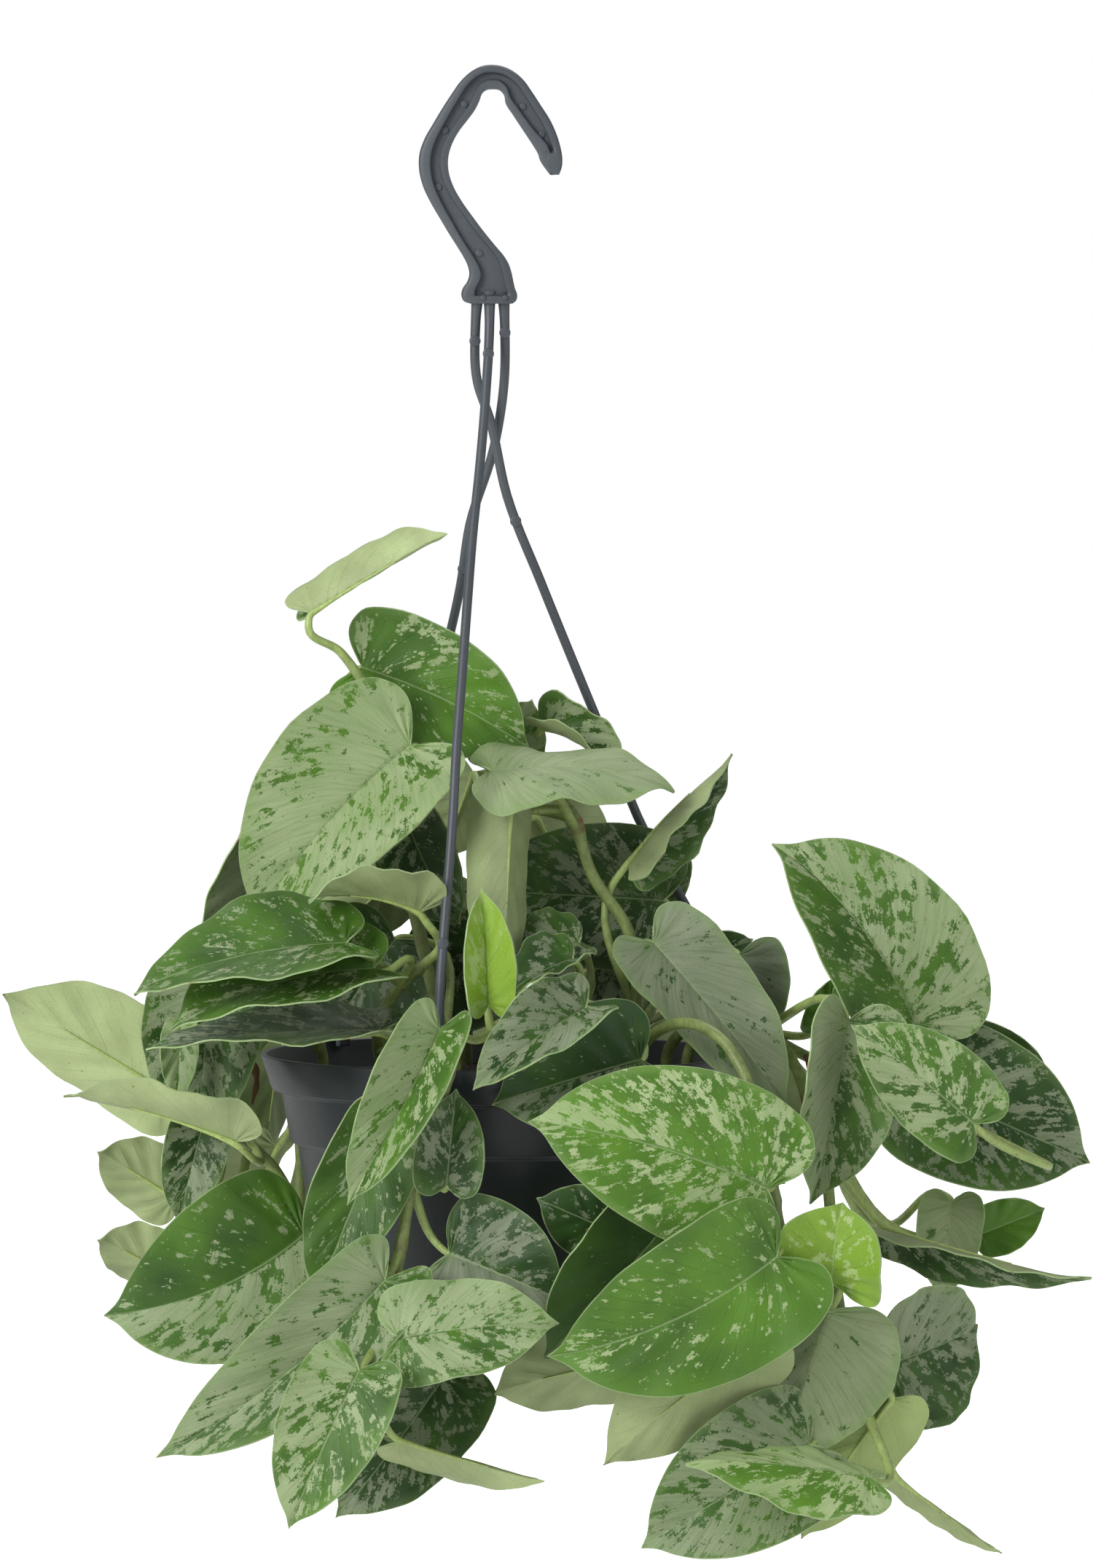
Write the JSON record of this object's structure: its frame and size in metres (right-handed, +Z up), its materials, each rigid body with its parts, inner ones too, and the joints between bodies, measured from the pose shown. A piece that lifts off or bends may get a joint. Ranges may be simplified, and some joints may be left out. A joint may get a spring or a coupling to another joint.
{
  "type": "satin pothos in a hanging pot",
  "caption": "Trailing satin pothos with silver-mottled heart-shaped leaves in a dark nursery hanging pot, carried by a moulded hook and strands clipped to the rim.",
  "frame": {"origin": "inside of the hook's crown, where the hook rests on what holds it", "axes": "+Z up, -Y towards the front, as the picture looks at the plant; +X to the right in that view"},
  "size_m": [0.3339, 0.235, 0.451],
  "materials": {
    "pot_plastic": "satin injection moulding, anthracite",
    "hanger_plastic": "satin flexible moulding, grey",
    "peat": "loose crumbly potting soil",
    "foliage": "satin leaf with silver mottling over green"
  },
  "bodies": {
    "root": {"pot": "pot_plastic", "soil": "peat", "hanger": "hanger_plastic", "vine_top_left": "foliage", "vine_top_centre": "foliage", "vine_umbrella": "foliage", "vine_left": "foliage", "vine_far_left": "foliage", "vine_front_left": "foliage", "vine_front_centre": "foliage", "vine_front_right": "foliage", "vine_mid_right": "foliage", "vine_upper_right": "foliage", "vine_low_right": "foliage", "vine_back_1": "foliage", "vine_back_2": "foliage", "vine_back_3": "foliage", "vine_back_4": "foliage", "vine_back_5": "foliage", "vine_crown_back": "foliage"}
  },
  "joints": []
}
